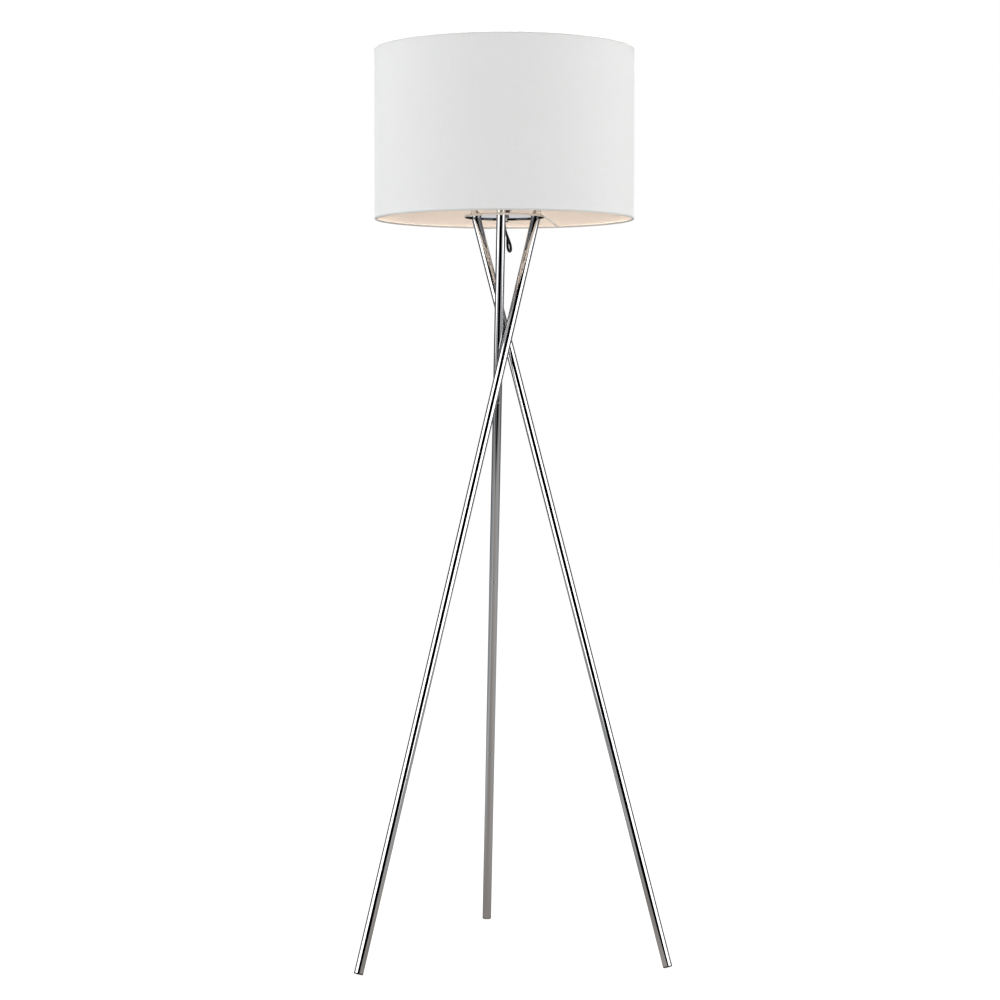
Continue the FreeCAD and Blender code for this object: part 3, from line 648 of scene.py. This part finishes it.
def paint_frame():
    by_slot = {
        "leg_chrome": chrome("leg_chrome", LEG_TINT, LEG_HAZE),
        "plate_chrome": chrome("plate_chrome", PLATE_TINT, PLATE_HAZE, UNDERSIDE - DARK_LIP_MARGIN),
        "zinc_steel": plated_steel("zinc_steel"),
        "black_plastic": moulded("black_plastic", (0.012,) * 3, (0.026, 0.026, 0.027), 0.5),
        "black_rubber": moulded("black_rubber", (0.010,) * 3, (0.020,) * 3, 0.72),
        "holder_phenolic": phenolic("holder_phenolic"),
        "block_ceramic": glazed("block_ceramic", (0.70, 0.67, 0.60), (0.84, 0.82, 0.76)),
        "brass": brass("brass"),
        "white_paint": white_paint("white_paint"),
        "shade_liner": liner_film("shade_liner"),
        "frosted_glass": frosted_glass("frosted_glass"),
        "cap_aluminium": aluminium("cap_aluminium"),
        "black_glass": glazed("black_glass", (0.008, 0.008, 0.009), (0.020, 0.020, 0.022)),
        "lead_pvc": lead_sheath("lead_pvc"),
        "shade_fabric": shade_cloth("shade_fabric"),
    }
    for part in frame["record"]["subparts"]:
        paint(part["node"], by_slot[part["material_slot"]])
    # The wedge spacers get rough chrome with a warm tint that paints in the cream liner's
    # reflection.
    paint("wedge_spacers", chrome("satin_chrome_painted_reflection", SPACER_PAINTED_REFLECTION_TINT, SPACER_HAZE))
    return by_slot


# ---- studio ---------------------------------------------------------------------------------

def studio_world():
    """White to the eye, even grey to matt surfaces, and walls with a dark gap to gloss."""
    world = bpy.data.worlds.new("studio")
    bpy.context.scene.world = world
    world.use_nodes = True
    tree = world.node_tree
    nodes, links = tree.nodes, tree.links
    nodes.clear()

    def add(kind, **settings):
        node = nodes.new(kind)
        for key, value in settings.items():
            setattr(node, key, value)
        return node

    def background(strength, colour):
        node = add("ShaderNodeBackground")
        node.inputs["Color"].default_value = (*colour, 1.0)
        node.inputs["Strength"].default_value = strength
        return node

    parts = add("ShaderNodeSeparateXYZ")
    links.new(add("ShaderNodeTexCoord").outputs["Generated"], parts.inputs[0])
    side = add("ShaderNodeMath", operation="ABSOLUTE")
    links.new(parts.outputs["X"], side.inputs[0])
    front = add("ShaderNodeMath", operation="MULTIPLY")
    front.inputs[1].default_value = -1.0
    links.new(parts.outputs["Y"], front.inputs[0])
    turn = add("ShaderNodeMath", operation="ARCTAN2")
    links.new(side.outputs[0], turn.inputs[0])
    links.new(front.outputs[0], turn.inputs[1])
    half_circle = add("ShaderNodeMath", operation="DIVIDE")
    half_circle.inputs[1].default_value = math.pi
    links.new(turn.outputs[0], half_circle.inputs[0])
    walls = add("ShaderNodeValToRGB")
    links.new(half_circle.outputs[0], walls.inputs["Fac"])
    ramp = walls.color_ramp
    ramp.elements[0].color = (*(WALLS[0][1] * c for c in WALL_TINT), 1.0)
    ramp.elements[1].color = (*(WALLS[-1][1] * c for c in WALL_TINT), 1.0)
    for degrees, level in WALLS[1:-1]:
        ramp.elements.new(degrees / 180.0).color = (*(level * c for c in WALL_TINT), 1.0)

    seen = background(1.0, (1.0, 1.0, 1.0))
    lit = background(WALL_LIGHT, (1.0, 1.0, 1.0))
    reflected = background(1.0, (1.0, 1.0, 1.0))
    links.new(walls.outputs["Color"], reflected.inputs["Color"])
    ray = add("ShaderNodeLightPath")
    gloss = add("ShaderNodeMixShader")
    links.new(ray.outputs["Is Glossy Ray"], gloss.inputs[0])
    links.new(lit.outputs[0], gloss.inputs[1])
    links.new(reflected.outputs[0], gloss.inputs[2])
    eye = add("ShaderNodeMixShader")
    links.new(ray.outputs["Is Camera Ray"], eye.inputs[0])
    links.new(gloss.outputs[0], eye.inputs[1])
    links.new(seen.outputs[0], eye.inputs[2])
    links.new(eye.outputs[0], add("ShaderNodeOutputWorld").inputs["Surface"])


def level_sheet(name, left, right, near, far, height):
    builder = bmesh.new()
    corners = ((left, near), (right, near), (right, far), (left, far))
    builder.faces.new([builder.verts.new((x, y, height)) for x, y in corners])
    sheet = mesh_object(name, builder)
    return sheet


def studio_floor():
    """White paper for the eye, and a glowing grey patch that only light and gloss see."""
    reach = FLOOR_REACH
    floor = level_sheet("floor", -reach, reach, -reach, reach, FLOOR_Z)
    n = Nodes("floor_paper")
    n.set(Roughness=0.9, Specular_IOR_Level=0.0, Emission_Color=(1.0, 1.0, 1.0, 1.0),
          Base_Color=(FLOOR_COLOUR,) * 3 + (1.0,))
    away = n.add("ShaderNodeVectorMath", operation="LENGTH")
    n.link(n.place(), away.inputs[0])
    glow = n.add("ShaderNodeMapRange", interpolation_type="SMOOTHSTEP")
    glow.inputs["From Min"].default_value, glow.inputs["From Max"].default_value = FLOOR_NEAR
    glow.inputs["To Min"].default_value = FLOOR_NEAR_GLOW
    glow.inputs["To Max"].default_value = FLOOR_GLOW
    n.link(away.outputs["Value"], glow.inputs["Value"])
    n.link(glow.outputs["Result"], n.shader.inputs["Emission Strength"])
    floor.data.materials.append(n.material)
    floor.visible_glossy = False
    floor.visible_diffuse = False

    patch = level_sheet("floor_patch", -PATCH_SIDE, PATCH_SIDE, PATCH_FRONT, PATCH_BACK, 0.0)
    n = Nodes("floor_glow")
    n.set(Roughness=1.0, Specular_IOR_Level=0.0, Base_Color=(0.0, 0.0, 0.0, 1.0))
    parts = n.add("ShaderNodeSeparateXYZ")
    n.link(n.place(), parts.inputs[0])
    across = n.number("ADD", n.number("MULTIPLY", parts.outputs["X"], 0.5 / PATCH_SIDE), 0.5)
    bands = n.add("ShaderNodeValToRGB")
    n.link(across, bands.inputs["Fac"])
    ramp = bands.color_ramp
    ramp.elements[0].color = (*PATCH_BANDS[0][1], 1.0)
    ramp.elements[1].color = (*PATCH_BANDS[-1][1], 1.0)
    for x, colour in PATCH_BANDS[1:-1]:
        ramp.elements.new(x / (2 * PATCH_SIDE) + 0.5).color = (*colour, 1.0)
    n.link(bands.outputs["Color"], n.shader.inputs["Emission Color"])
    fade = n.add("ShaderNodeMapRange", interpolation_type="SMOOTHSTEP")
    fade.inputs["From Min"].default_value = PATCH_FRONT
    fade.inputs["From Max"].default_value = PATCH_FRONT + PATCH_FADE
    fade.inputs["To Max"].default_value = PATCH_GLOW
    n.link(parts.outputs["Y"], fade.inputs["Value"])
    n.link(fade.outputs["Result"], n.shader.inputs["Emission Strength"])
    patch.data.materials.append(n.material)
    patch.visible_camera = False
    patch.visible_shadow = False


def area_light(name, place, aim, width, height, power, glossy):
    light = bpy.data.lights.new(name, "AREA")
    light.shape = "RECTANGLE"
    light.size = width
    light.size_y = height
    light.energy = power
    obj = bpy.data.objects.new(name, light)
    obj.location = place
    obj.rotation_mode = "QUATERNION"
    obj.rotation_quaternion = (Vector(aim) - Vector(place)).to_track_quat("-Z", "Y")
    obj.visible_camera = False
    obj.visible_glossy = glossy
    bpy.context.scene.collection.objects.link(obj)


def round_place(degrees_from_front, distance, height):
    turn = math.radians(degrees_from_front)
    return (distance * math.sin(turn), -distance * math.cos(turn), height)


def studio_lights():
    boxes = (("low", BOX_LOW, BOX_SPLIT, True), ("high", BOX_SPLIT, BOX_HIGH, False))
    for name, side in (("left_box", -1), ("right_box", 1)):
        for part, low, high, glossy in boxes:
            middle = (low + high) / 2
            place = round_place(side * BOX_ANGLE, BOX_DISTANCE, middle)
            power = BOX_POWER * (high - low) / (BOX_HIGH - BOX_LOW)
            area_light(name + "_" + part, place, (0.0, 0.0, middle), BOX_WIDTH, high - low,
                       power, glossy)
    for name, side in (("left_fill", -1), ("right_fill", 1)):
        place = round_place(side * FILL_ANGLE, FILL_DISTANCE, FILL_Z)
        area_light(name, place, FILL_AIM, *FILL_SIZE, FILL_POWER, False)
    area_light("top_light", TOP_PLACE, TOP_AIM, *TOP_SIZE, TOP_POWER, False)


def camera():
    data = bpy.data.cameras.new("camera")
    data.lens = CAMERA_LENS
    data.sensor_width = CAMERA_SENSOR
    obj = bpy.data.objects.new("camera", data)
    obj.location = CAMERA_PLACE
    obj.rotation_euler = (math.pi / 2 - CAMERA_DOWN, 0.0, 0.0)
    bpy.context.scene.collection.objects.link(obj)
    bpy.context.scene.camera = obj


# ---- build ----------------------------------------------------------------------------------

camera()
studio_world()
studio_floor()
studio_lights()
bpy.context.scene.view_settings.view_transform = "Standard"

finishes = paint_frame()

drum, strip_length, strip_width = shade_drum()
drum.data.materials.append(finishes["shade_fabric"])
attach(drum, "shade")
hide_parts("shade_fabric")

lead = lead_loop()
lead.data.materials.append(finishes["lead_pvc"])
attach(lead, "stand")
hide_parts("mains_lead_loop")
